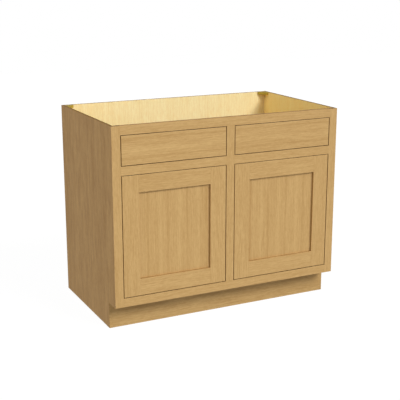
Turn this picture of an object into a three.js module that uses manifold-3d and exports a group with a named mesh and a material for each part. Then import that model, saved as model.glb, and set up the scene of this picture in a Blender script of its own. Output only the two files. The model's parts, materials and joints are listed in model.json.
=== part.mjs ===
// A face-frame sink base cabinet: plywood box with an open top, a hardwood face frame,
// two false drawer fronts and two five-piece doors that stand flush in the frame and swing
// on pivot hinges let into their ends. Millimetres, +Z up, front towards -Y. The origin is
// under the middle of the cabinet, on the floor.
import * as THREE from "three";
import { mergeVertices } from "three/addons/utils/BufferGeometryUtils.js";
import Module from "manifold-3d";

const wasm = await Module();
wasm.setup();

// Outside of the cabinet.
const width = 1066.8;
const depth = 628.65;
const height = 876.3;
const kickHeight = 114.3;
const kickRecess = 76.2;

// Boards.
const plywood = 12.7;
const frameThickness = 19.05;
const frameMember = 38.1;
const drawerOpening = 127;
const dadoDepth = 6.35;
const glueLine = 0.1;

// Mortise and tenon joints of the face frame.
const tenonThickness = 9.5;
const tenonLength = 15;
const tenonShoulder = 6;
const tenonPlay = 0.15;

// Doors and false fronts, flush with the frame.
const reveal = 2.4;
const doorMember = 73;
const doorThickness = 19.05;
const doorPanel = 6.35;
const panelRecess = 9.5;
const grooveDepth = 10;
const groovePlay = 0.15;
const panelPlay = 1.2;
const easedEdge = 0.8;

// Blocks behind the false fronts and in the back corners.
const cleat = { width: 38.1, thickness: 19.05, overlap: 22, inset: 76 };
const brace = { leg: 38.1, tip: 5, thickness: 12, drop: 0.6, pilotRadius: 2.2, pilotInset: 14 };

// Pivot hinge. Its pin stands this far from the edge of the stile and from the front face,
// so that the door's eased corner turns just clear of the stile.
const pinFromStile = 8;
const pinFromFront = 5;
const pinRadius = 2.5;
const pinPlay = 0.2;
const pinEnd = 6;
const pinPocket = { radius: 3.2, end: 6.8 };
const leaf = { thickness: 2.8, ear: 3.6, neck: 7.2, near: 1, far: 11, length: 48, play: 0.2 };
const leafScrew = { count: 2, first: 14, pitch: 26, radius: 2.1, head: 4.2 };
const washer = { radius: 4, thickness: 2 };

// Magnetic catch behind the middle rail, and its strike plate on the door.
const magnetCatch = { width: 38, centre: 43, flange: 4, reach: 13, up: 31, down: 22 };
const catchShoulder = 6;
const catchSlot = { radius: 2, fromSide: 9, fromShoulder: 5, fromTop: 7 };
const magnet = { width: 28, height: 11, depth: 7, play: 0.2 };
const strike = { width: 34, height: 15, thickness: 1.2, below: 3.5, hole: 2.2 };

// A cutter runs this far past the face that it opens.
const overrun = 1;

// Places that follow from the sizes above.
const left = -width / 2;
const front = -depth / 2;
const back = depth / 2;
const frameBack = front + frameThickness;
const kickFace = front + kickRecess;
const openingLeft = left + frameMember;
const openingRight = -frameMember / 2;
const bottomRailTop = kickHeight + frameMember;
const topRailBottom = height - frameMember;
const middleRailTop = topRailBottom - drawerOpening;
const middleRailBottom = middleRailTop - frameMember;
const floorTop = bottomRailTop;
const doorLeft = openingLeft + reveal;
const doorRight = openingRight - reveal;
const doorBottom = bottomRailTop + reveal;
const doorTop = middleRailBottom - reveal;

// Materials ------------------------------------------------------------------------------

function frontWood() {
  return new THREE.MeshStandardMaterial({ color: "#cba66f", roughness: 0.48, metalness: 0 });
}

function sidePlywood() {
  return new THREE.MeshStandardMaterial({ color: "#c79f69", roughness: 0.5, metalness: 0 });
}

function insidePlywood() {
  return new THREE.MeshStandardMaterial({ color: "#ecd79c", roughness: 0.42, metalness: 0 });
}

function hiddenPlywood() {
  return new THREE.MeshStandardMaterial({ color: "#c9a873", roughness: 0.65, metalness: 0 });
}

function braceWood() {
  return new THREE.MeshStandardMaterial({ color: "#b7a25c", roughness: 0.6, metalness: 0 });
}

function hingeSteel() {
  return new THREE.MeshStandardMaterial({ color: "#a9a59c", roughness: 0.35, metalness: 0.9 });
}

function washerBronze() {
  return new THREE.MeshStandardMaterial({ color: "#9a7a45", roughness: 0.4, metalness: 0.85 });
}

function catchPlastic() {
  return new THREE.MeshStandardMaterial({ color: "#6b5138", roughness: 0.55, metalness: 0 });
}

// Solids and their joining ----------------------------------------------------------------

function toSolid(geometry) {
  const bare = geometry.clone();
  bare.deleteAttribute("normal");
  bare.deleteAttribute("uv");
  const merged = mergeVertices(bare, 1e-4);
  const mesh = new wasm.Mesh({
    numProp: 3,
    vertProperties: merged.attributes.position.array,
    triVerts: new Uint32Array(merged.index.array),
  });
  return new wasm.Manifold(mesh);
}

function toGeometry(solid) {
  const mesh = solid.getMesh();
  const geometry = new THREE.BufferGeometry();
  geometry.setAttribute("position", new THREE.BufferAttribute(mesh.vertProperties, 3));
  geometry.setIndex(new THREE.BufferAttribute(mesh.triVerts, 1));
  geometry.computeVertexNormals();
  return geometry;
}

function cut(base, ...tools) {
  return toGeometry(tools.reduce((rest, tool) => rest.subtract(toSolid(tool)), toSolid(base)));
}

function join(...pieces) {
  const [first, ...others] = pieces.map(toSolid);
  return toGeometry(others.reduce((whole, piece) => whole.add(piece), first));
}

function common(a, b) {
  return toGeometry(toSolid(a).intersect(toSolid(b)));
}

// A box from its lowest corner to its highest.
function block(x0, x1, y0, y1, z0, z1) {
  const box = new THREE.BoxGeometry(x1 - x0, y1 - y0, z1 - z0);
  return box.translate((x0 + x1) / 2, (y0 + y1) / 2, (z0 + z1) / 2);
}

function shapeOf(points) {
  return new THREE.Shape(points.map(([x, y]) => new THREE.Vector2(x, y)));
}

function extrude(shape, depthOfCut, curveSegments = 12) {
  return new THREE.ExtrudeGeometry(shape, {
    depth: depthOfCut,
    bevelEnabled: false,
    curveSegments,
  });
}

// An outline drawn in (y, z) and run along X from x0 to x1.
function runAlongX(points, x0, x1) {
  const turned = new THREE.Matrix4().makeBasis(
    new THREE.Vector3(0, 1, 0),
    new THREE.Vector3(0, 0, 1),
    new THREE.Vector3(1, 0, 0),
  );
  return extrude(shapeOf(points), x1 - x0).applyMatrix4(turned).translate(x0, 0, 0);
}

// An outline drawn in (x, y) and run along Z from z0 to z1.
function runAlongZ(points, z0, z1) {
  return extrude(shapeOf(points), z1 - z0).translate(0, 0, z0);
}

// A mesh whose own origin is the middle of its box, placed by its position.
function piece(name, geometry, material) {
  geometry.computeBoundingBox();
  const middle = geometry.boundingBox.getCenter(new THREE.Vector3());
  geometry.translate(-middle.x, -middle.y, -middle.z);
  const mesh = new THREE.Mesh(geometry, material);
  mesh.name = name;
  mesh.position.copy(middle);
  return mesh;
}

// Cabinet box -----------------------------------------------------------------------------

// The side has the toe notch at its lower front corner, a dado for the floor and a rabbet
// for the back panel.
function sidePanel() {
  const outline = [
    [frameBack + glueLine, kickHeight],
    [kickFace, kickHeight],
    [kickFace, 0],
    [back, 0],
    [back, height],
    [frameBack + glueLine, height],
  ];
  const inside = left + plywood;
  const dado = block(
    inside - dadoDepth,
    inside + overrun,
    frameBack - overrun,
    back + overrun,
    floorTop - plywood - glueLine,
    floorTop + glueLine,
  );
  const rabbet = block(
    inside - dadoDepth,
    inside + overrun,
    back - plywood - glueLine,
    back + overrun,
    -overrun,
    height + overrun,
  );
  return cut(runAlongX(outline, left, inside), dado, rabbet);
}

function backPanel() {
  const edge = left + plywood - dadoDepth + glueLine;
  const inside = back - plywood;
  const panel = block(edge, -edge, inside, back, 0, height);
  const dado = block(
    edge - overrun,
    -edge + overrun,
    inside - overrun,
    inside + dadoDepth,
    floorTop - plywood - glueLine,
    floorTop + glueLine,
  );
  return cut(panel, dado);
}

function cabinetFloor() {
  const edge = left + plywood - dadoDepth + glueLine;
  const rear = back - plywood + dadoDepth - glueLine;
  return block(edge, -edge, frameBack + glueLine, rear, floorTop - plywood, floorTop);
}

function toeBoard() {
  const edge = left + plywood + glueLine;
  const top = floorTop - plywood - glueLine;
  return block(edge, -edge, kickFace, kickFace + plywood, 0, top);
}

function floorBearer() {
  const start = kickFace + plywood + glueLine;
  const end = back - plywood - glueLine;
  return block(-plywood / 2, plywood / 2, start, end, 0, floorTop - plywood - glueLine);
}

// A triangular block in a back corner, flush with the top, drilled for the worktop screw.
function cornerBrace() {
  const x = left + plywood + glueLine;
  const y = back - plywood - glueLine;
  const outline = [
    [x, y],
    [x, y - brace.leg],
    [x + brace.tip, y - brace.leg],
    [x + brace.leg, y - brace.tip],
    [x + brace.leg, y],
  ];
  const top = height - brace.drop;
  const pilot = new THREE.CylinderGeometry(
    brace.pilotRadius,
    brace.pilotRadius,
    brace.thickness + 2 * overrun,
    12,
  );
  pilot.rotateX(Math.PI / 2);
  pilot.translate(x + brace.pilotInset, y - brace.pilotInset, top - brace.thickness / 2);
  return cut(runAlongZ(outline, top - brace.thickness, top), pilot);
}

// Face frame ------------------------------------------------------------------------------

// The tenon that a rail between x0 and x1 shows at both ends, or with play its mortises.
function railTenon(x0, x1, z0, play = 0) {
  const middle = (front + frameBack) / 2;
  const half = tenonThickness / 2 + play;
  const reach = tenonLength + 3 * play;
  return block(
    x0 - reach,
    x1 + reach,
    middle - half,
    middle + half,
    z0 + tenonShoulder - play,
    z0 + frameMember - tenonShoulder + play,
  );
}

// A rail of the face frame with its two tenons.
function rail(x0, x1, z0) {
  const body = block(x0 + glueLine, x1 - glueLine, front, frameBack, z0, z0 + frameMember);
  return join(body, railTenon(x0, x1, z0));
}

function middleRail() {
  const whole = rail(openingLeft, openingRight, middleRailBottom);
  return cut(whole, frameLeafMortise(upperPivot()));
}

// The centre stile's tenons stand upright in the top and bottom rails.
function centreTenon(play = 0) {
  const middle = (front + frameBack) / 2;
  const half = tenonThickness / 2 + play;
  const side = frameMember / 2 - tenonShoulder + play;
  const reach = tenonLength + 3 * play;
  return block(
    -side,
    side,
    middle - half,
    middle + half,
    bottomRailTop - reach,
    topRailBottom + reach,
  );
}

function topRail() {
  return cut(rail(openingLeft, -openingLeft, topRailBottom), centreTenon(tenonPlay));
}

function bottomRail() {
  const leftMortise = frameLeafMortise(lowerPivot());
  const rightMortise = placed(leftMortise, new THREE.Matrix4().makeScale(-1, 1, 1));
  const whole = rail(openingLeft, -openingLeft, kickHeight);
  return cut(whole, centreTenon(tenonPlay), leftMortise, rightMortise);
}

function centreStile() {
  const half = frameMember / 2;
  const body = block(
    -half,
    half,
    front,
    frameBack,
    bottomRailTop + glueLine,
    topRailBottom - glueLine,
  );
  const leftMortise = railTenon(openingLeft, -half, middleRailBottom, tenonPlay);
  const rightMortise = railTenon(half, -openingLeft, middleRailBottom, tenonPlay);
  return cut(join(body, centreTenon()), leftMortise, rightMortise);
}

function outerStile() {
  const body = block(left, openingLeft, front, frameBack, kickHeight, height);
  const mortises = [kickHeight, middleRailBottom, topRailBottom].map((z) =>
    railTenon(openingLeft, openingRight, z, tenonPlay),
  );
  return cut(body, ...mortises);
}

// False fronts ----------------------------------------------------------------------------

// A slab as thick as a door, with its arrises eased all round on both faces.
function easedSlab(x0, x1, z0, z1) {
  const outline = shapeOf([
    [x0, z0],
    [x1, z0],
    [x1, z1],
    [x0, z1],
  ]);
  const slab = new THREE.ExtrudeGeometry(outline, {
    depth: doorThickness - 2 * easedEdge,
    bevelEnabled: true,
    bevelThickness: easedEdge,
    bevelSize: easedEdge,
    bevelOffset: -easedEdge,
    bevelSegments: 1,
  });
  return slab.rotateX(Math.PI / 2).translate(0, front + doorThickness - easedEdge, 0);
}

function falseFront() {
  return easedSlab(doorLeft, doorRight, middleRailTop + reveal, topRailBottom - reveal);
}

// An upright block that laps the rails and holds a false front from behind.
function frontCleat(x0) {
  return block(
    x0,
    x0 + cleat.width,
    frameBack + glueLine,
    frameBack + glueLine + cleat.thickness,
    middleRailTop - cleat.overlap,
    topRailBottom + cleat.overlap,
  );
}

// Doors -----------------------------------------------------------------------------------

// Section of a stile or rail with its panel groove: t runs across the member from its outer
// edge, y through the thickness.
function grooved(member) {
  const grooveFront = front + panelRecess - groovePlay;
  const grooveBack = front + panelRecess + doorPanel + groovePlay;
  const rear = front + doorThickness;
  return [
    [0, front],
    [member, front],
    [member, grooveFront],
    [member - grooveDepth, grooveFront],
    [member - grooveDepth, grooveBack],
    [member, grooveBack],
    [member, rear],
    [0, rear],
  ];
}

// The whole door as one slab with eased edges: every outer member is trimmed to it.
function doorBlank() {
  return easedSlab(doorLeft, doorRight, doorBottom, doorTop);
}

function hingeStile() {
  const section = grooved(doorMember).map(([t, y]) => [doorLeft + t, y]);
  const stile = common(runAlongZ(section, doorBottom, doorTop), doorBlank());
  return cut(stile, ...doorLeafMortise(upperPivot()), ...doorLeafMortise(lowerPivot()));
}

function latchStile() {
  const section = grooved(doorMember).map(([t, y]) => [doorRight - t, y]);
  return common(runAlongZ(section.reverse(), doorBottom, doorTop), doorBlank());
}

// A door rail: its grooved length between the stiles and a tongue into each of them. The
// tongue stands a little shy of the rail's own edge and of the panel's groove.
function doorRail(outerEdge, inward) {
  const x0 = doorLeft + doorMember;
  const x1 = doorRight - doorMember;
  const section = grooved(doorMember).map(([t, y]) => [y, outerEdge + inward * t]);
  const ordered = inward > 0 ? section.reverse() : section;
  const body = runAlongX(ordered, x0 + glueLine, x1 - glueLine);
  const shy = 1;
  const root = outerEdge + inward * (easedEdge + shy);
  const tip = outerEdge + inward * (doorMember - grooveDepth - shy);
  const tongue = block(
    x0 - grooveDepth + groovePlay,
    x1 + grooveDepth - groovePlay,
    front + panelRecess,
    front + panelRecess + doorPanel,
    Math.min(root, tip),
    Math.max(root, tip),
  );
  return join(common(body, doorBlank()), tongue);
}

function doorPanelBoard() {
  const inset = doorMember - grooveDepth + panelPlay;
  return block(
    doorLeft + inset,
    doorRight - inset,
    front + panelRecess,
    front + panelRecess + doorPanel,
    doorBottom + inset,
    doorTop - inset,
  );
}

// Pivot hinges ----------------------------------------------------------------------------
// Each is drawn on its pin: x runs along the leaf, y towards the back, z from the rail to
// the door. z = 0 is the face of the rail.

function pivotPlace(z, towardsDoor) {
  const place = new THREE.Matrix4().makeTranslation(
    openingLeft + pinFromStile,
    front + pinFromFront,
    z,
  );
  return place.multiply(new THREE.Matrix4().makeScale(1, 1, towardsDoor));
}

function lowerPivot() {
  return pivotPlace(bottomRailTop, 1);
}

function upperPivot() {
  return pivotPlace(middleRailBottom, -1);
}

// Outline of a leaf: a round ear on the pin that runs into a bar with a round end.
function leafOutline(grow = 0) {
  const ear = leaf.ear + grow;
  const near = leaf.near - grow;
  const far = leaf.far + grow;
  const middle = (near + far) / 2;
  const round = (far - near) / 2;
  const outline = new THREE.Shape();
  outline.absarc(0, 0, ear, Math.PI, (5 / 3) * Math.PI);
  outline.lineTo(leaf.neck, near);
  outline.absarc(leaf.length, middle, round, -Math.PI / 2, Math.PI / 2);
  outline.absarc(round - ear, middle, round, Math.PI / 2, Math.PI);
  return outline;
}

function circleHole(x, y, radius) {
  const hole = new THREE.Path();
  hole.absarc(x, y, radius, 0, 2 * Math.PI);
  return hole;
}

function screwPlaces() {
  const y = (leaf.near + leaf.far) / 2;
  const holes = Array.from({ length: leafScrew.count }, (_, i) => i);
  return holes.map((i) => [leafScrew.first + i * leafScrew.pitch, y]);
}

// A leaf plate between z0 and z0 + its thickness, its screw holes countersunk at 90 degrees
// from z = face.
function leafPlate(z0, face, pinHole) {
  const outline = leafOutline();
  screwPlaces().forEach(([x, y]) => outline.holes.push(circleHole(x, y, leafScrew.radius)));
  if (pinHole) outline.holes.push(circleHole(0, 0, pinRadius + pinPlay));
  const plate = extrude(outline, leaf.thickness, 8).translate(0, 0, z0);
  const inward = face > z0 ? -1 : 1;
  const coneSize = leafScrew.head + overrun;
  const sinks = screwPlaces().map(([x, y]) => {
    const sink = new THREE.ConeGeometry(coneSize, coneSize, 20);
    sink.rotateX((inward * Math.PI) / 2);
    return sink.translate(x, y, face + inward * (coneSize / 2 - overrun));
  });
  return cut(plate, ...sinks);
}

// The leaf in the rail carries the pin.
function frameLeaf() {
  const pin = new THREE.CylinderGeometry(pinRadius, pinRadius, leaf.thickness + pinEnd, 24);
  pin.rotateX(Math.PI / 2);
  pin.translate(0, 0, (pinEnd - leaf.thickness) / 2 - glueLine / 2);
  return join(leafPlate(-leaf.thickness - glueLine, -glueLine, false), pin);
}

// The leaf in the end of the door turns on the pin.
function doorLeaf() {
  return leafPlate(reveal + glueLine, reveal + glueLine, true);
}

function pivotWasher() {
  const outline = new THREE.Shape();
  outline.absarc(0, 0, washer.radius, 0, 2 * Math.PI);
  outline.holes.push(circleHole(0, 0, pinRadius + pinPlay));
  return extrude(outline, washer.thickness, 10).translate(0, 0, glueLine);
}

function frameLeafMortise(place) {
  const floor = -leaf.thickness - 2 * glueLine;
  const pocket = extrude(leafOutline(leaf.play), overrun - floor, 8);
  pocket.translate(0, 0, floor);
  return placed(pocket, place);
}

function doorLeafMortise(place) {
  const floor = reveal + leaf.thickness + 2 * glueLine;
  const pocket = extrude(leafOutline(leaf.play), floor - reveal + overrun, 8);
  pocket.translate(0, 0, reveal - overrun);
  const well = new THREE.CylinderGeometry(pinPocket.radius, pinPocket.radius, pinPocket.end, 20);
  well.rotateX(Math.PI / 2).translate(0, 0, pinPocket.end / 2);
  return [placed(pocket, place), placed(well, place)];
}

// Applies a placement and, where it mirrors, turns the faces outwards again.
function placed(geometry, place) {
  const moved = geometry.clone().applyMatrix4(place);
  return place.determinant() < 0 ? mirrored(moved) : moved;
}

function mirrored(geometry) {
  const open = geometry.index ? geometry.toNonIndexed() : geometry.clone();
  const corners = open.attributes.position;
  const a = new THREE.Vector3();
  const b = new THREE.Vector3();
  for (let i = 0; i < corners.count; i += 3) {
    a.fromBufferAttribute(corners, i);
    b.fromBufferAttribute(corners, i + 1);
    corners.setXYZ(i, b.x, b.y, b.z);
    corners.setXYZ(i + 1, a.x, a.y, a.z);
  }
  return open;
}

// Magnetic catch --------------------------------------------------------------------------

function catchMiddle() {
  return openingRight - magnetCatch.centre;
}

// The bar magnet, or with play the pocket that it lies in, which is open at the front.
function magnetPocket(play) {
  const x = catchMiddle();
  const z = middleRailBottom - magnetCatch.down / 2;
  const face = frameBack + strike.thickness + 2 * glueLine;
  return block(
    x - magnet.width / 2 - play,
    x + magnet.width / 2 + play,
    play > 0 ? face - overrun : face,
    face + magnet.depth + play,
    z - magnet.height / 2 - play,
    z + magnet.height / 2 + play,
  );
}

// The housing is screwed to the back of the rail through two slots and hangs below it. Its
// nose is set back by the thickness of the strike.
function catchHousing() {
  const y = frameBack + glueLine;
  const face = frameBack + strike.thickness + 3 * glueLine;
  const setBack = face - y;
  const top = middleRailBottom + magnetCatch.up;
  const bottom = middleRailBottom - magnetCatch.down;
  const shoulder = middleRailBottom + catchShoulder;
  const outline = [
    [y, middleRailBottom + setBack],
    [face, middleRailBottom],
    [face, bottom],
    [y + magnetCatch.reach, bottom],
    [y + magnetCatch.reach, middleRailBottom],
    [y + magnetCatch.flange, shoulder],
    [y + magnetCatch.flange, top],
    [y, top],
  ];
  const x = catchMiddle();
  const half = magnetCatch.width / 2;
  const slots = [-1, 1].map((side) =>
    screwSlot(
      x + side * (half - catchSlot.fromSide),
      shoulder + catchSlot.fromShoulder,
      top - catchSlot.fromTop,
    ),
  );
  return cut(runAlongX(outline, x - half, x + half), magnetPocket(magnet.play), ...slots);
}

// An upright slot through the flange, for a screw that can be shifted up and down.
function screwSlot(x, z0, z1) {
  const outline = new THREE.Shape();
  outline.absarc(x, z1, catchSlot.radius, 0, Math.PI);
  outline.absarc(x, z0, catchSlot.radius, Math.PI, 2 * Math.PI);
  const tool = extrude(outline, magnetCatch.reach, 6);
  return tool.rotateX(Math.PI / 2).translate(0, frameBack + magnetCatch.reach, 0);
}

function strikePlate() {
  const x = catchMiddle();
  const top = doorTop - strike.below;
  const outline = shapeOf([
    [x - strike.width / 2, top - strike.height],
    [x + strike.width / 2, top - strike.height],
    [x + strike.width / 2, top],
    [x - strike.width / 2, top],
  ]);
  outline.holes.push(circleHole(x, top - strike.height / 2, strike.hole));
  const plate = extrude(outline, strike.thickness, 8).rotateX(Math.PI / 2);
  return plate.translate(0, front + doorThickness + glueLine / 2 + strike.thickness, 0);
}

// Assembly --------------------------------------------------------------------------------

// The three pieces of one pivot, turned and placed by their group.
function pivotHinge(side, level, place) {
  const hinge = new THREE.Group();
  hinge.applyMatrix4(place);
  hinge.add(
    piece(`${side}_${level}_hinge_rail_leaf`, frameLeaf(), hingeSteel()),
    piece(`${side}_${level}_hinge_washer`, pivotWasher(), washerBronze()),
    piece(`${side}_${level}_hinge_door_leaf`, doorLeaf(), hingeSteel()),
  );
  return hinge;
}

// A door's five pieces and the strike on its back.
function door(side) {
  const leafGroup = new THREE.Group();
  leafGroup.add(
    piece(`${side}_door_hinge_stile`, hingeStile(), frontWood()),
    piece(`${side}_door_latch_stile`, latchStile(), frontWood()),
    piece(`${side}_door_top_rail`, doorRail(doorTop, -1), frontWood()),
    piece(`${side}_door_bottom_rail`, doorRail(doorBottom, 1), frontWood()),
    piece(`${side}_door_panel`, doorPanelBoard(), frontWood()),
    piece(`${side}_catch_strike`, strikePlate(), hingeSteel()),
  );
  return leafGroup;
}

// Everything that one half of the cabinet has, drawn for the left.
function half(side) {
  const group = new THREE.Group();
  const innerCleat = openingRight - cleat.inset - cleat.width;
  group.add(
    piece(`${side}_side_panel`, sidePanel(), sidePlywood()),
    piece(`${side}_frame_stile`, outerStile(), frontWood()),
    piece(`${side}_middle_rail`, middleRail(), frontWood()),
    piece(`${side}_false_front`, falseFront(), frontWood()),
    piece(`${side}_outer_front_cleat`, frontCleat(openingLeft + cleat.inset), hiddenPlywood()),
    piece(`${side}_inner_front_cleat`, frontCleat(innerCleat), hiddenPlywood()),
    piece(`${side}_corner_brace`, cornerBrace(), braceWood()),
    piece(`${side}_catch_housing`, catchHousing(), catchPlastic()),
    piece(`${side}_catch_magnet`, magnetPocket(0), hingeSteel()),
    door(side),
    pivotHinge(side, "lower", lowerPivot()),
    pivotHinge(side, "upper", upperPivot()),
  );
  return group;
}

const cabinet = new THREE.Group();
const rightHalf = half("right");
rightHalf.scale.x = -1;
cabinet.add(
  half("left"),
  rightHalf,
  piece("back_panel", backPanel(), insidePlywood()),
  piece("cabinet_floor", cabinetFloor(), insidePlywood()),
  piece("toe_board", toeBoard(), sidePlywood()),
  piece("floor_bearer", floorBearer(), hiddenPlywood()),
  piece("top_rail", topRail(), frontWood()),
  piece("bottom_rail", bottomRail(), frontWood()),
  piece("centre_stile", centreStile(), frontWood()),
);

export default cabinet;
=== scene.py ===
import json
import math

import bmesh
import bpy
from mathutils import Matrix, Vector


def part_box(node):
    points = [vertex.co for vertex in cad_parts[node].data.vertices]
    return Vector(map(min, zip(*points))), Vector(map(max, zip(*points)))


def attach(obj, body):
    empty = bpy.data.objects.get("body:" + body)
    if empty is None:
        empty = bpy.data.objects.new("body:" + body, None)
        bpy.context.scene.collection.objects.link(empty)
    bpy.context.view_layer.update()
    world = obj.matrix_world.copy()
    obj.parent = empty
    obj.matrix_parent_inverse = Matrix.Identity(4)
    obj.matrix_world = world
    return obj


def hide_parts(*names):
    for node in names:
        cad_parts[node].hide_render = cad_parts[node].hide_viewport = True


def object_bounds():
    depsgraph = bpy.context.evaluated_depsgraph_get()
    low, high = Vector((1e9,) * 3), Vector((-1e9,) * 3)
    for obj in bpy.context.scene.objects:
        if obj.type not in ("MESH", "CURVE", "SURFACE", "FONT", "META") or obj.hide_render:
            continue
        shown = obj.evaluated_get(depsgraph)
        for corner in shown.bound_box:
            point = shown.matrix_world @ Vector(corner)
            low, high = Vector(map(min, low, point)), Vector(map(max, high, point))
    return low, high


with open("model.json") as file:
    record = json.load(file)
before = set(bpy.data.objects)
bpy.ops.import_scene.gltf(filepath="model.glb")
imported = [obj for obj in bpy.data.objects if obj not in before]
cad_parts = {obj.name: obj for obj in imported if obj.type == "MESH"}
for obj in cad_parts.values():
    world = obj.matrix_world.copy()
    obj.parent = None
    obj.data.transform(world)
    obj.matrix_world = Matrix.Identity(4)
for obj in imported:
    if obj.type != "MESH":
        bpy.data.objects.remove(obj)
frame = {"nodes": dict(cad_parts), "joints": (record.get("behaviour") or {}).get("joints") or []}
solid_low, solid_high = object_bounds()

# Camera -------------------------------------------------------------------------------------
# The cabinet is seen from its front left and a little from above, through a long lens. The
# place and the lens come from fitting the edges of the box as they stand in the picture.

camera_place = Vector((-1.7592, -3.5776, 1.4861))
camera_azimuth = math.radians(26.33)
camera_drop = math.radians(14.65)

camera = bpy.data.objects.new("camera", bpy.data.cameras.new("camera"))
bpy.context.scene.collection.objects.link(camera)
bpy.context.scene.camera = camera
camera.data.sensor_width = 36
camera.data.lens = 80.66
camera.data.clip_end = 60
camera.location = camera_place
camera.rotation_euler = (math.pi / 2 - camera_drop, 0, -camera_azimuth)

# Studio floor, sky and lamp -------------------------------------------------------------------
# A white studio. Its walls are brighter than its ceiling, and the floor glows softly.
# A broad lamp stands to the front right, so that the left side lies in half shade, and a weak
# one to the left lights the inside of the right side.

bpy.context.scene.view_settings.view_transform = "Standard"
horizon_strength = 0.63
overhead_strength = 0.11
floor_glow = 0.47
floor_white_share = 0.92
floor_half = 9.0
floor_under_cabinet = 0.0005
lamp_towards = Vector((0.369, -0.725, 0.626))
lamp_strength = 2.38
lamp_spread = math.radians(24)
fill_towards = Vector((-0.80, -0.20, 0.58))
fill_strength = 0.7
fill_spread = math.radians(60)
white = (1, 1, 1, 1)


def add_node(tree, kind, sockets=None, **settings):
    """A shader node, with its settings made and its sockets filled with values or outputs."""
    made = tree.nodes.new("ShaderNode" + kind)
    for setting, value in settings.items():
        setattr(made, setting, value)
    for socket, value in (sockets or {}).items():
        if isinstance(value, bpy.types.NodeSocket):
            tree.links.new(value, made.inputs[socket])
        else:
            made.inputs[socket].default_value = value
    return made


def is_looking(tree):
    """1 for rays that only look at the surroundings, straight or through something."""
    path = add_node(tree, "LightPath").outputs
    return add_node(
        tree, "Math", {0: path["Is Camera Ray"], 1: path["Is Transmission Ray"]},
        operation="MAXIMUM",
    ).outputs[0]


world = bpy.data.worlds.new("studio")
world.use_nodes = True
world.node_tree.nodes.clear()
bpy.context.scene.world = world
upward = add_node(
    world.node_tree, "SeparateXYZ", {0: add_node(world.node_tree, "TexCoord").outputs["Generated"]}
).outputs["Z"]
sky_strength = add_node(
    world.node_tree, "MapRange",
    {"Value": upward, "To Min": horizon_strength, "To Max": overhead_strength},
).outputs[0]
sky = add_node(world.node_tree, "Background", {"Color": white, "Strength": sky_strength})
white_wall = add_node(world.node_tree, "Background", {"Color": white, "Strength": 1.0})
world_mix = add_node(
    world.node_tree, "MixShader",
    {0: is_looking(world.node_tree), 1: sky.outputs[0], 2: white_wall.outputs[0]},
)
add_node(world.node_tree, "OutputWorld", {"Surface": world_mix.outputs[0]})

paper = bpy.data.materials.new("studio paper")
paper.use_nodes = True
paper.node_tree.nodes.clear()
paper_matt = add_node(paper.node_tree, "BsdfDiffuse", {"Color": (0.8, 0.8, 0.8, 1)})
paper_white = add_node(paper.node_tree, "Emission", {"Color": white, "Strength": 1.05})
paper_glow = add_node(paper.node_tree, "Emission", {"Color": white, "Strength": floor_glow})
paper_seen = add_node(
    paper.node_tree, "MixShader",
    {0: floor_white_share, 1: paper_matt.outputs[0], 2: paper_white.outputs[0]},
)
paper_mix = add_node(
    paper.node_tree, "MixShader",
    {0: is_looking(paper.node_tree), 1: paper_glow.outputs[0], 2: paper_seen.outputs[0]},
)
add_node(paper.node_tree, "OutputMaterial", {"Surface": paper_mix.outputs[0]})

floor_mesh = bpy.data.meshes.new("studio_floor")
floor_work = bmesh.new()
bmesh.ops.create_grid(floor_work, x_segments=1, y_segments=1, size=floor_half)
bmesh.ops.translate(floor_work, verts=floor_work.verts, vec=(0, 0, -floor_under_cabinet))
floor_work.to_mesh(floor_mesh)
floor_work.free()
floor_mesh.materials.append(paper)
studio_floor = bpy.data.objects.new("studio_floor", floor_mesh)
bpy.context.scene.collection.objects.link(studio_floor)

for name, towards, strength, spread in (
    ("front_right_lamp", lamp_towards, lamp_strength, lamp_spread),
    ("left_fill_lamp", fill_towards, fill_strength, fill_spread),
):
    lamp = bpy.data.objects.new(name, bpy.data.lights.new(name, "SUN"))
    bpy.context.scene.collection.objects.link(lamp)
    lamp.data.energy = strength
    lamp.data.angle = spread
    lamp.rotation_mode = "QUATERNION"
    lamp.rotation_quaternion = towards.to_track_quat("Z", "Y")

# Plywood box --------------------------------------------------------------------------------
# Sides, back, floor, toe board and bearer are 12.7 mm veneered plywood, glued in dados and
# rabbets. The outside of the sides and the toe board are stained like the front, and so are
# the veneered edges of the toe notch; the top edges are a darker brown. The inside is pale
# veneer under clear lacquer, with the inner faces of the sides painted a brighter gold as
# painted bounce light. The back's outside is bare, and the plies show on the other edges.

plywood_thickness = 0.0127
ply_count = 7


def screen_colour(red, green, blue):
    """A colour given as it looks on a screen, 0 to 255, as the shader takes it."""
    parts = [value / 255 for value in (red, green, blue)]
    linear = [p / 12.92 if p < 0.04045 else ((p + 0.055) / 1.055) ** 2.4 for p in parts]
    return (*linear, 1)


def shaded(colour, factor):
    """The same colour, lighter or darker."""
    return (*(min(1, part * factor) for part in colour[:3]), 1)


# Each stain has the colour of the early and of the late wood.
honey = (screen_colour(206, 170, 114), screen_colour(183, 145, 91))
side_honey = (screen_colour(198, 158, 102), screen_colour(173, 132, 80))
toe_honey = (screen_colour(198, 163, 108), screen_colour(176, 139, 86))
# Dark brown painted shade for the gap walls round the doors and fronts and the edges round the
# openings.
gap_shade_brown = (screen_colour(132, 97, 50), screen_colour(112, 79, 38))
edge_brown = (screen_colour(155, 118, 56), screen_colour(133, 97, 42))
# Lighter brown painted shade for the walls of the door panel's recess and the tops of the frame
# rails.
edge_shade_honey = (screen_colour(184, 144, 87), screen_colour(164, 122, 70))
pale_birch = (screen_colour(254, 239, 187), screen_colour(246, 223, 163))
# The inner faces of the sides are painted a brighter, golden birch: painted bounce light.
bounce_gold_birch = (screen_colour(255, 229, 150), screen_colour(252, 215, 131))
bare_ply = (screen_colour(222, 191, 140), screen_colour(200, 165, 112))


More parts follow.
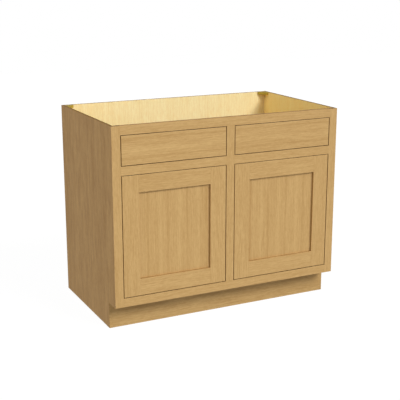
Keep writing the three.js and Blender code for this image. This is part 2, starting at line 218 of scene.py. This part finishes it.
def noise(tree, place, across, along, detail, roughness=0.55):
    """Noise drawn out along the grain: `across` and `along` are its repeats in a metre."""
    stretched = add_node(
        tree, "Mapping", {"Vector": place, "Scale": (across, across, along)}
    ).outputs[0]
    return add_node(
        tree, "TexNoise",
        {"Vector": stretched, "Scale": 1, "Detail": detail, "Roughness": roughness},
    ).outputs["Fac"]


def weigh(tree, total, value, weight):
    """Adds weight * (value - 0.5) to the running total."""
    centred = add_node(tree, "Math", {0: value, 1: 0.5}, operation="SUBTRACT").outputs[0]
    return add_node(
        tree, "Math", {0: centred, 1: weight, 2: total}, operation="MULTIPLY_ADD"
    ).outputs[0]


def blend_colours(tree, share, first, second):
    """A colour that goes from the first to the second as the share goes from 0 to 1."""
    return add_node(
        tree, "Mix", {0: share, 6: first, 7: second}, data_type="RGBA", clamp_factor=True
    ).outputs[2]


def board_place(tree, grain):
    """A point of the board as it lay in the log, with the grain along Z."""
    turns = {"x": (0, -math.pi / 2, 0), "y": (math.pi / 2, 0, 0), "z": (0, 0, 0)}
    in_log = add_node(
        tree, "VectorMath",
        {
            0: add_node(tree, "TexCoord").outputs["Object"],
            1: add_node(tree, "Attribute", attribute_name="cut").outputs["Vector"],
        },
        operation="ADD",
    ).outputs[0]
    return add_node(tree, "Mapping", {"Vector": in_log, "Rotation": turns[grain]}).outputs[0]


def wavy(tree, straight):
    """The same point, moved a little across the grain, so that the grain lines wander."""
    coarse = add_node(tree, "Mapping", {"Vector": straight, "Scale": (7, 7, 2.4)}).outputs[0]
    wander = add_node(
        tree, "TexNoise", {"Vector": coarse, "Scale": 1, "Detail": 1, "Roughness": 0.5}
    ).outputs["Color"]
    return add_node(
        tree, "VectorMath", {0: wander, 1: (0.03, 0.03, 0), 2: straight},
        operation="MULTIPLY_ADD",
    ).outputs[0]


def growth_rings(tree, place):
    """Fine wavy lines where the board cuts the growth rings."""
    rings_in_a_metre = 260
    wander = noise(tree, place, 9, 1.6, 2)
    turned = add_node(tree, "Mapping", {"Vector": place, "Rotation": (0, 0, 0.6)}).outputs[0]
    across = add_node(tree, "SeparateXYZ", {0: turned}).outputs["X"]
    count = add_node(
        tree, "Math", {0: across, 1: rings_in_a_metre}, operation="MULTIPLY"
    ).outputs[0]
    phase = add_node(
        tree, "Math", {0: wander, 1: 9.0, 2: count}, operation="MULTIPLY_ADD"
    ).outputs[0]
    return add_node(tree, "Math", {0: phase, 1: 1.0}, operation="PINGPONG").outputs[0]


def near_lines(tree, place, pitch, start, reach):
    """1 on lines along the grain, a pitch apart, and 0 further away than the reach."""
    across = add_node(tree, "SeparateXYZ", {0: place}).outputs["X"]
    moved = add_node(tree, "Math", {0: across, 1: start}, operation="SUBTRACT").outputs[0]
    distance = add_node(
        tree, "Math", {0: moved, 1: pitch / 2}, operation="PINGPONG"
    ).outputs[0]
    return add_node(
        tree, "MapRange",
        {"Value": distance, "From Min": 0, "From Max": reach, "To Min": 1, "To Max": 0},
        interpolation_type="SMOOTHSTEP",
    ).outputs[0]


def wood(name, stain, grain, contrast=1.0, mottle=0.35, gloss=0.45, pitch=None):
    """Wood with broad tone bands, growth rings, streaks, flecks and short dark pores. With a
    pitch, it has a soft dark line at each step of it and a lighter one between."""
    early, late = stain
    material = bpy.data.materials.new(name)
    material.use_nodes = True
    tree = material.node_tree
    tree.nodes.clear()
    straight = board_place(tree, grain)
    place = wavy(tree, straight)

    bands = noise(tree, place, 22, 1.1, 2)
    clouds = noise(tree, place, 40, 8, 2)
    streaks = noise(tree, place, 170, 8, 3, 0.6)
    flecks = noise(tree, place, 190, 45, 2, 0.6)
    fibres = noise(tree, place, 900, 14, 3, 0.7)
    tone = weigh(tree, 0.5, bands, 0.6 * contrast)
    tone = weigh(tree, tone, clouds, mottle)
    tone = weigh(tree, tone, streaks, 1.1 * contrast)
    tone = weigh(tree, tone, flecks, 1.1 * contrast)
    tone = weigh(tree, tone, fibres, 0.35)
    tone = weigh(tree, tone, growth_rings(tree, place), 0.16)
    if pitch:
        dark_line = near_lines(tree, straight, pitch, 0, 0.1 * pitch)
        light_line = near_lines(tree, straight, pitch, 0.6 * pitch, 0.15 * pitch)
        tone = add_node(
            tree, "Math", {0: dark_line, 1: -0.30, 2: tone}, operation="MULTIPLY_ADD"
        ).outputs[0]
        tone = add_node(
            tree, "Math", {0: light_line, 1: 0.20, 2: tone}, operation="MULTIPLY_ADD"
        ).outputs[0]
    stained = blend_colours(tree, tone, late, early)

    pore_place = add_node(
        tree, "Mapping", {"Vector": place, "Scale": (1500, 1500, 90)}
    ).outputs[0]
    pore_distance = add_node(
        tree, "TexVoronoi", {"Vector": pore_place, "Scale": 1}, feature="F1"
    ).outputs["Distance"]
    pores = add_node(
        tree, "MapRange",
        {"Value": pore_distance, "From Min": 0.12, "From Max": 0.32, "To Min": 1, "To Max": 0},
    ).outputs[0]
    pore_share = add_node(tree, "Math", {0: pores, 1: 0.22}, operation="MULTIPLY").outputs[0]
    pored = blend_colours(tree, pore_share, stained, shaded(late, 0.45))

    # Arris faces are lightened a quarter of the way: wear from sanding, and a painted highlight.
    arris = add_node(tree, "Attribute", attribute_name="arris").outputs["Fac"]
    arris_share = add_node(tree, "Math", {0: arris, 1: 0.25}, operation="MULTIPLY").outputs[0]
    rubbed_and_highlit = blend_colours(tree, arris_share, pored, shaded(early, 1.3))

    rough = add_node(
        tree, "MapRange",
        {
            "Value": streaks, "From Min": 0.3, "From Max": 0.7,
            "To Min": gloss, "To Max": gloss + 0.12,
        },
    ).outputs[0]
    relief = add_node(
        tree, "Math", {0: pores, 1: -0.8, 2: fibres}, operation="MULTIPLY_ADD"
    ).outputs[0]
    bump = add_node(
        tree, "Bump", {"Height": relief, "Strength": 0.25, "Distance": 0.0002}
    ).outputs[0]
    shader = add_node(
        tree, "BsdfPrincipled",
        {"Base Color": rubbed_and_highlit, "Roughness": rough, "Normal": bump, "Specular IOR Level": 0.12},
    )
    add_node(tree, "OutputMaterial", {"Surface": shader.outputs[0]})
    return material


def ply_edge(name, thickness_axis):
    """The plies on a cut edge: every second one is end grain, which is darker."""
    ply = plywood_thickness / ply_count
    material = bpy.data.materials.new(name)
    material.use_nodes = True
    tree = material.node_tree
    tree.nodes.clear()
    place = add_node(tree, "TexCoord").outputs["Object"]
    from_face = add_node(
        tree, "VectorMath",
        {0: place, 1: add_node(tree, "Attribute", attribute_name="face_side").outputs["Vector"]},
        operation="SUBTRACT",
    ).outputs[0]
    depth = add_node(tree, "SeparateXYZ", {0: from_face}).outputs[thickness_axis]
    layer = add_node(tree, "Math", {0: depth, 1: ply}, operation="PINGPONG").outputs[0]
    shade = add_node(
        tree, "MapRange",
        {"Value": layer, "From Min": 0, "From Max": ply, "To Min": -0.3, "To Max": 1.3},
    ).outputs[0]
    speckle = add_node(
        tree, "TexNoise", {"Vector": place, "Scale": 700, "Detail": 3, "Roughness": 0.6}
    ).outputs["Fac"]
    tone = weigh(tree, shade, speckle, 1.0)
    colour = blend_colours(tree, tone, screen_colour(176, 139, 88), screen_colour(226, 196, 138))
    bump = add_node(
        tree, "Bump", {"Height": tone, "Strength": 0.3, "Distance": 0.0002}
    ).outputs[0]
    shader = add_node(
        tree, "BsdfPrincipled", {"Base Color": colour, "Roughness": 0.7, "Normal": bump}
    )
    add_node(tree, "OutputMaterial", {"Surface": shader.outputs[0]})
    return material


same_point = 1e-6
touching = 1e-4
shortest_arris = 0.012
shortest_eased_arris = 0.06


def is_arris(edge, low, high):
    """Whether an edge is a long outer arris of its board, or borders an eased one."""
    if not edge.is_manifold or edge.calc_face_angle_signed() < math.radians(30):
        return False
    eased_already = edge.calc_face_angle_signed() < math.radians(60)
    if eased_already:
        return edge.calc_length() > shortest_eased_arris
    middle = (edge.verts[0].co + edge.verts[1].co) / 2
    sides = sum(
        min(abs(middle[axis] - low[axis]), abs(middle[axis] - high[axis])) < touching
        for axis in range(3)
    )
    return sides > 1 and edge.calc_length() > shortest_arris


def board(node, body, cut, ease=0.0003, meets=()):
    """The looks of a solid board: a copy of it with its arrises eased, except where it
    is glued flush to a board that it meets. `cut` is the place that it had in the log."""
    work = bmesh.new()
    work.from_mesh(frame["nodes"][node].data)
    bmesh.ops.remove_doubles(work, verts=work.verts, dist=same_point)
    bmesh.ops.dissolve_limit(
        work, angle_limit=math.radians(1), verts=work.verts, edges=work.edges
    )
    low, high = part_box(node)
    along = max(range(3), key=lambda axis: high[axis] - low[axis])
    direction = [float(axis == along) for axis in range(3)]
    glued = [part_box(other) for other in meets]
    for place in sorted({round(corner[along], 5) for corners in glued for corner in corners}):
        if low[along] + touching < place < high[along] - touching:
            bmesh.ops.bisect_plane(
                work, geom=work.verts[:] + work.edges[:] + work.faces[:],
                plane_co=[place * part for part in direction], plane_no=direction,
            )

    def is_glued(edge, play=0.0004):
        middle = (edge.verts[0].co + edge.verts[1].co) / 2
        return any(
            all(lo[a] - play < middle[a] < hi[a] + play for a in range(3)) for lo, hi in glued
        )

    arrises = [edge for edge in work.edges if is_arris(edge, low, high) and not is_glued(edge)]
    bmesh.ops.bevel(
        work, geom=arrises, offset=ease, segments=2, profile=0.5, affect="EDGES",
        clamp_overlap=True, material=-1,
    )
    arris_mark = work.faces.layers.float.new("arris")
    cut_mark = work.faces.layers.float_vector.new("cut")
    side_mark = work.faces.layers.float_vector.new("face_side")
    for face in work.faces:
        is_square = max(abs(part) for part in face.normal) > 0.999
        face[arris_mark] = 0.0 if is_square else 1.0
        face[cut_mark] = Vector(cut)
        face[side_mark] = low
    mesh = bpy.data.meshes.new(node + "_board")
    work.to_mesh(mesh)
    work.free()
    made = bpy.data.objects.new(node + "_board", mesh)
    bpy.context.scene.collection.objects.link(made)
    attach(made, body)
    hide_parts(node)
    return made


def finish(piece, *finishes):
    """Gives each face the last material whose test the face's normal and centre pass."""
    for index, (material, test) in enumerate(finishes):
        piece.data.materials.append(material)
        for face in piece.data.polygons:
            if test(face.normal, face.center):
                face.material_index = index


# A face looks along an axis when its normal has more than this share of it.
looks_along = 0.5


def everywhere(normal, centre):
    return True


def facing(axis):
    """A test for faces that look along an axis, which is 0, 1 or 2, either way."""
    return lambda normal, centre: abs(normal[axis]) > looks_along


def to_the_front(normal, centre):
    return normal.y < -looks_along


def upwards(normal, centre):
    return normal.z > looks_along


def on_top(normal, centre):
    """Faces that look up at the cabinet's own top, give or take a millimetre."""
    return upwards(normal, centre) and centre.z > solid_high.z - 0.001


def outside(normal, centre):
    """Faces that look away from the middle of the cabinet, to the left or to the right."""
    return abs(normal.x) > looks_along and normal.x * centre.x > 0


plies = {axis: ply_edge("plies across " + axis, axis) for axis in "XYZ"}
side_veneer = wood("side veneer", side_honey, "z", contrast=1.1, mottle=1.6)
toe_veneer = wood("toe veneer", toe_honey, "x", contrast=1.2, mottle=1.0)
inside_veneer = wood("inside veneer", pale_birch, "z", contrast=1.6, mottle=0.8, gloss=0.38)
inside_side_bounce_veneer = wood("inside side veneer, painted bounce light", bounce_gold_birch, "z", contrast=1.2, gloss=0.38)
floor_veneer = wood("floor veneer", pale_birch, "x", gloss=0.38)
bare_upright = wood("bare ply, grain upright", bare_ply, "z", gloss=0.62)
bare_level = wood("bare ply, grain level", bare_ply, "x", gloss=0.62)
bare_deep = wood("bare ply, grain front to back", bare_ply, "y", gloss=0.62)
top_edge_deep = wood("top edge, grain front to back", edge_brown, "y", gloss=0.5)
top_edge_level = wood("top edge, grain level", edge_brown, "x", gloss=0.5)

for number, side in enumerate(("left", "right")):
    panel = board(side + "_side_panel", "cabinet", (0.31, 0.2, 0.1 + number))
    finish(
        panel,
        (plies["X"], everywhere),
        # Inner faces: painted golden bounce light.
        (inside_side_bounce_veneer, facing(0)),
        (side_veneer, outside),
        (toe_veneer, to_the_front),
        (top_edge_deep, on_top),
    )

back = board("back_panel", "cabinet", (0.13, 0.4, 0.2))
finish(
    back,
    (plies["Y"], everywhere),
    (bare_upright, facing(1)),
    (inside_veneer, to_the_front),
    (top_edge_level, on_top),
)

cabinet_floor = board("cabinet_floor", "cabinet", (0.5, 0.1, 0.9))
finish(
    cabinet_floor,
    (plies["Z"], everywhere),
    (bare_level, facing(2)),
    (floor_veneer, upwards),
)

toe_board = board("toe_board", "cabinet", (0.2, 0.7, 0.35))
finish(
    toe_board,
    (plies["Y"], everywhere),
    (bare_level, facing(1)),
    (toe_veneer, to_the_front),
)

bearer = board("floor_bearer", "cabinet", (0.9, 0.3, 0.6))
finish(bearer, (plies["X"], everywhere), (bare_deep, facing(0)))

# Face frame ---------------------------------------------------------------------------------
# Solid wood members, 38 mm wide and 19 mm thick, mortised together and sanded flush, so that
# only the turn of the grain shows where a rail meets a stile. The outer stiles run through.
# The edges round the openings are painted dark brown, a painted shade for the gaps.

front_upright = wood("front wood, grain upright", honey, "z")
front_level = wood("front wood, grain level", honey, "x")
gap_shade_upright = wood("painted gap shade, grain upright", gap_shade_brown, "z", gloss=0.5)
gap_shade_level = wood("painted gap shade, grain level", gap_shade_brown, "x", gloss=0.5)
shadow_upright = wood("painted edge shade, grain upright", edge_shade_honey, "z", gloss=0.5)
shadow_level = wood("painted edge shade, grain level", edge_shade_honey, "x", gloss=0.5)
frame_ease = 0.0005
outermost = solid_high.x - 0.003
frame_rails = ["top_rail", "bottom_rail", "left_middle_rail", "right_middle_rail"]
frame_stiles = ["left_frame_stile", "right_frame_stile", "centre_stile"]


def round_an_opening(normal, centre):
    """Faces that look along the front, with the whole of the upright arrises."""
    on_upright_arris = abs(normal.x) > 0.3 and abs(centre.x) < outermost
    return abs(normal.y) < looks_along or on_upright_arris


def on_the_cabinets_side(normal, centre):
    return outside(normal, centre) and abs(centre.x) > outermost


for number, node in enumerate(frame_stiles):
    cut = (0.37 * number + 0.11, 0.23 * number, 0.9 * number)
    stile = board(node, "cabinet", cut, ease=frame_ease, meets=frame_rails)
    finish(
        stile,
        (front_upright, everywhere),
        (gap_shade_upright, round_an_opening),
        (side_veneer, on_the_cabinets_side),
    )
for number, node in enumerate(frame_rails):
    cut = (0.6 * number + 0.53, 0.17 * number + 2.0, 0.29 * number)
    rail = board(node, "cabinet", cut, ease=frame_ease, meets=frame_stiles)
    # The rails' tops get a lighter painted shade.
    finish(
        rail, (front_level, everywhere), (gap_shade_level, round_an_opening), (shadow_level, on_top)
    )

# False drawer fronts, cleats and corner blocks --------------------------------------------------
# A false front is one board with its grain across, held in the opening by two plywood cleats
# that are screwed to the rails behind it. A softwood block fills each back corner: its top and
# its upright faces are olive, and its underside is bare.

block_olive = (screen_colour(187, 160, 62), screen_colour(165, 138, 46))
block_top_olive = (screen_colour(178, 158, 82), screen_colour(154, 134, 62))
pale_pine = (screen_colour(255, 228, 150), screen_colour(246, 208, 124))
block_wood = wood("corner block", block_olive, "x", gloss=0.6)
block_top = wood("corner block top", block_top_olive, "x", gloss=0.6)
bare_softwood = wood("bare softwood", pale_pine, "x", gloss=0.6)

front_tone_band = 0.077
drawer_wood = wood("false front wood", honey, "x", pitch=front_tone_band)


def upright(normal, centre):
    return abs(normal.z) < looks_along


for number, side in enumerate(("left", "right")):
    false_front = board(
        side + "_false_front", "cabinet", (0.4 * number, 1.3, -0.743)
    )
    # The false front's edges get the painted gap shade.
    finish(false_front, (drawer_wood, everywhere), (gap_shade_level, round_an_opening))
    for spot in ("outer", "inner"):
        cleat = board(
            f"{side}_{spot}_front_cleat", "cabinet", (number, 0.2, 0.4)
        )
        finish(cleat, (plies["Y"], everywhere), (bare_upright, facing(1)))
    block = board(
        side + "_corner_brace", "cabinet", (0.2, 0.6, number), ease=frame_ease
    )
    finish(block, (bare_softwood, everywhere), (block_wood, upright), (block_top, on_top))

# Doors --------------------------------------------------------------------------------------
# Five pieces each: stiles and rails with a groove, and a flat panel that floats in it with its
# face 9.5 mm back. The panel is glued up of 90 mm staves. The door's own edges are eased. Its
# rim is painted dark brown as painted gap shade, and the walls of the recess a lighter brown as
# painted shade.

stave_width = 0.09
panel_ease = 0.0002
rim_depth = 0.0004
panel_wood = wood("door panel wood", honey, "z", contrast=0.85, pitch=stave_width)
first_joint = {"left": -0.3793, "right": 0.104}

for number, side in enumerate(("left", "right")):
    body = side + "_door"
    stiles = [side + "_door_hinge_stile", side + "_door_latch_stile"]
    rails = [side + "_door_top_rail", side + "_door_bottom_rail"]
    door_low = Vector(min(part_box(node)[0][a] for node in stiles) for a in range(3))
    door_high = Vector(max(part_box(node)[1][a] for node in stiles) for a in range(3))

    def round_the_door(normal, centre, low=door_low, high=door_high):
        on_rim = min(
            centre.x - low.x, high.x - centre.x, centre.z - low.z, high.z - centre.z
        ) < rim_depth
        return on_rim and round_an_opening(normal, centre)

    for order, node in enumerate(stiles):
        cut = (0.61 * number + 0.23 * order, 0.4 + number, 0.7 * order)
        stile = board(node, body, cut)
        finish(
            stile,
            (front_upright, everywhere),
            (shadow_upright, round_an_opening),
            (gap_shade_upright, round_the_door),
        )
    for order, node in enumerate(rails):
        cut = (0.5 * number, 0.9 + 0.37 * order, 0.31 * order + 0.7 * number)
        rail = board(node, body, cut, meets=stiles)
        finish(
            rail,
            (front_level, everywhere),
            (shadow_level, round_an_opening),
            (gap_shade_level, round_the_door),
        )
    panel = board(
        side + "_door_panel", body, (-first_joint[side], 0.3, 0.5 + number),
        ease=panel_ease,
    )
    finish(panel, (panel_wood, everywhere))

# Pivot hinges ---------------------------------------------------------------------------------
# Steel leaves with a satin zinc finish, let into the rail and into the end of the door, turn on
# a fixed pin with a bronze washer between them. Two countersunk screws hold each leaf.


def worn_metal(name, colour, rough):
    """Plated metal, a little clouded, with fine handling marks."""
    material = bpy.data.materials.new(name)
    material.use_nodes = True
    tree = material.node_tree
    tree.nodes.clear()
    place = add_node(tree, "TexCoord").outputs["Object"]
    cloud = add_node(
        tree, "TexNoise", {"Vector": place, "Scale": 220, "Detail": 4, "Roughness": 0.6}
    ).outputs["Fac"]
    shade = blend_colours(tree, cloud, shaded(colour, 0.7), colour)
    dull = add_node(
        tree, "MapRange",
        {
            "Value": cloud, "From Min": 0.3, "From Max": 0.7,
            "To Min": rough - 0.08, "To Max": rough + 0.1,
        },
    ).outputs[0]
    bump = add_node(
        tree, "Bump", {"Height": cloud, "Strength": 0.1, "Distance": 0.0001}
    ).outputs[0]
    shader = add_node(
        tree, "BsdfPrincipled",
        {"Base Color": shade, "Roughness": dull, "Metallic": 1.0, "Normal": bump},
    )
    add_node(tree, "OutputMaterial", {"Surface": shader.outputs[0]})
    return material


def recoat(node, material):
    """A solid that keeps its own shape gets its finish."""
    solid = frame["nodes"][node]
    solid.data.materials.clear()
    solid.data.materials.append(material)


zinc = worn_metal("satin zinc", screen_colour(190, 186, 178), 0.35)
bronze = worn_metal("oiled bronze", screen_colour(176, 138, 78), 0.4)
screw_steel = worn_metal("screw steel", screen_colour(150, 148, 142), 0.4)


def screw(name, place, outwards, body, head_radius, profile):
    """A wood screw: its half profile, a list of (radius, height) with the face of the head at
    height 0, is spun round, and the recess is drawn out to six lobes."""
    work = bmesh.new()
    corners = [work.verts.new((radius, 0, level)) for radius, level in profile]
    edges = [work.edges.new(pair) for pair in zip(corners, corners[1:])]
    bmesh.ops.spin(
        work, geom=corners + edges, cent=(0, 0, 0), axis=(0, 0, 1), dvec=(0, 0, 0),
        angle=math.tau, steps=24, use_merge=True, use_normal_flip=False, use_duplicate=False,
    )
    bmesh.ops.remove_doubles(work, verts=work.verts, dist=same_point)
    for vertex in work.verts:
        distance = math.hypot(vertex.co.x, vertex.co.y)
        in_recess = 0.1 * head_radius < distance < 0.55 * head_radius
        if in_recess and vertex.co.z > -0.4 * head_radius:
            lobes = 1 + 0.22 * math.cos(6 * math.atan2(vertex.co.y, vertex.co.x))
            vertex.co.x *= lobes
            vertex.co.y *= lobes
    bmesh.ops.recalc_face_normals(work, faces=work.faces)
    turn = outwards.to_track_quat("Z", "Y").to_matrix().to_4x4()
    bmesh.ops.transform(work, matrix=Matrix.Translation(place) @ turn, verts=work.verts)
    mesh = bpy.data.meshes.new(name)
    work.to_mesh(mesh)
    work.free()
    mesh.materials.append(screw_steel)
    made = bpy.data.objects.new(name, mesh)
    bpy.context.scene.collection.objects.link(made)
    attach(made, body)
    return made


def countersunk(radius, length):
    """Half profile of a countersunk screw, from the bottom of its recess to its tip."""
    return [
        (0, -0.30 * radius), (0.40 * radius, -0.26 * radius), (0.46 * radius, 0),
        (0.95 * radius, 0), (radius, -0.06 * radius), (0.45 * radius, -0.62 * radius),
        (0.42 * radius, -0.8 * length), (0, -length),
    ]


screw_along_leaf = (0.014, 0.040)
screw_behind_pin = 0.006
leaf_screw_radius = 0.0040
leaf_screw_length = 0.014
glue_line = 0.0002

for joint in frame["joints"]:
    side = joint["child"].removesuffix("_door")
    pin = Vector(joint["pos_m"])
    inwards = -math.copysign(1, pin.x)
    for level, up in (("lower", 1), ("upper", -1)):
        recoat(f"{side}_{level}_hinge_washer", bronze)
        washer_low, washer_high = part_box(f"{side}_{level}_hinge_washer")
        for part, body, looks in (("rail", "cabinet", up), ("door", side + "_door", -up)):
            node = f"{side}_{level}_hinge_{part}_leaf"
            recoat(node, zinc)
            low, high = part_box(node)
            face = {
                ("rail", 1): washer_low.z - glue_line,
                ("rail", -1): washer_high.z + glue_line,
                ("door", -1): low.z,
                ("door", 1): high.z,
            }[(part, looks)]
            for number, along in enumerate(screw_along_leaf):
                place = Vector((pin.x + inwards * along, pin.y + screw_behind_pin, face))
                screw(
                    f"{node}_screw_{number + 1}", place, Vector((0, 0, looks)), body,
                    leaf_screw_radius, countersunk(leaf_screw_radius, leaf_screw_length),
                )

# Magnetic catches -------------------------------------------------------------------------------
# A moulded housing, screwed to the back of the middle rail through two slots, holds a bar
# magnet. A thin steel strike on the back of the door meets it.


def moulded_plastic(name, colour):
    """Moulded plastic with the faint grain of the mould."""
    material = bpy.data.materials.new(name)
    material.use_nodes = True
    tree = material.node_tree
    tree.nodes.clear()
    place = add_node(tree, "TexCoord").outputs["Object"]
    grain = add_node(
        tree, "TexNoise", {"Vector": place, "Scale": 1400, "Detail": 2, "Roughness": 0.5}
    ).outputs["Fac"]
    shade = blend_colours(tree, grain, shaded(colour, 0.85), shaded(colour, 1.1))
    rough = add_node(
        tree, "MapRange", {"Value": grain, "To Min": 0.45, "To Max": 0.62}
    ).outputs[0]
    bump = add_node(
        tree, "Bump", {"Height": grain, "Strength": 0.2, "Distance": 0.0001}
    ).outputs[0]
    shader = add_node(
        tree, "BsdfPrincipled", {"Base Color": shade, "Roughness": rough, "Normal": bump}
    )
    add_node(tree, "OutputMaterial", {"Surface": shader.outputs[0]})
    return material


def pan_head(radius, length):
    """Half profile of a pan head screw, its flat seat at height 0."""
    return [
        (0, 0.25 * radius), (0.36 * radius, 0.3 * radius), (0.42 * radius, 0.62 * radius),
        (0.75 * radius, 0.55 * radius), (radius, 0.3 * radius), (radius, 0),
        (0.45 * radius, 0), (0.42 * radius, -0.8 * length), (0, -length),
    ]


brown_plastic = moulded_plastic("brown moulding", screen_colour(107, 81, 56))
magnet_steel = worn_metal("dull magnet steel", screen_colour(120, 118, 114), 0.5)
flange_thickness = 0.004
slot_apart = 0.020
slot_above_bottom = 0.0395
flange_screw_radius = 0.0034
flange_screw_length = 0.015
strike_screw_radius = 0.0021
strike_screw_length = 0.011

for side in ("left", "right"):
    recoat(side + "_catch_housing", brown_plastic)
    recoat(side + "_catch_magnet", magnet_steel)
    recoat(side + "_catch_strike", zinc)
    low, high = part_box(side + "_catch_housing")
    for number, shift in enumerate((-0.5, 0.5)):
        place = Vector(
            (
                (low.x + high.x) / 2 + shift * slot_apart,
                low.y + flange_thickness,
                low.z + slot_above_bottom,
            )
        )
        screw(
            f"{side}_catch_screw_{number + 1}", place, Vector((0, 1, 0)), "cabinet",
            flange_screw_radius, pan_head(flange_screw_radius, flange_screw_length),
        )
    low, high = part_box(side + "_catch_strike")
    place = Vector(((low.x + high.x) / 2, high.y - glue_line, (low.z + high.z) / 2))
    screw(
        side + "_strike_screw", place, Vector((0, 1, 0)), side + "_door",
        strike_screw_radius, countersunk(strike_screw_radius, strike_screw_length),
    )

# Cleat screws ---------------------------------------------------------------------------------
# Each cleat behind a false front has a countersunk screw into the rail above, one into the
# rail below, and two into the false front itself.

rail_screw_inset = 0.011
front_screw_inset = 0.058
head_proud = 0.0001
cleat_screw_radius = 0.0042
cleat_screw_length = 0.028

for side in ("left", "right"):
    for spot in ("outer", "inner"):
        low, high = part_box(f"{side}_{spot}_front_cleat")
        levels = (
            low.z + rail_screw_inset, low.z + front_screw_inset,
            high.z - front_screw_inset, high.z - rail_screw_inset,
        )
        for number, level in enumerate(levels):
            place = Vector(((low.x + high.x) / 2, high.y + head_proud, level))
            screw(
                f"{side}_{spot}_cleat_screw_{number + 1}", place, Vector((0, 1, 0)), "cabinet",
                cleat_screw_radius, countersunk(cleat_screw_radius, cleat_screw_length),
            )
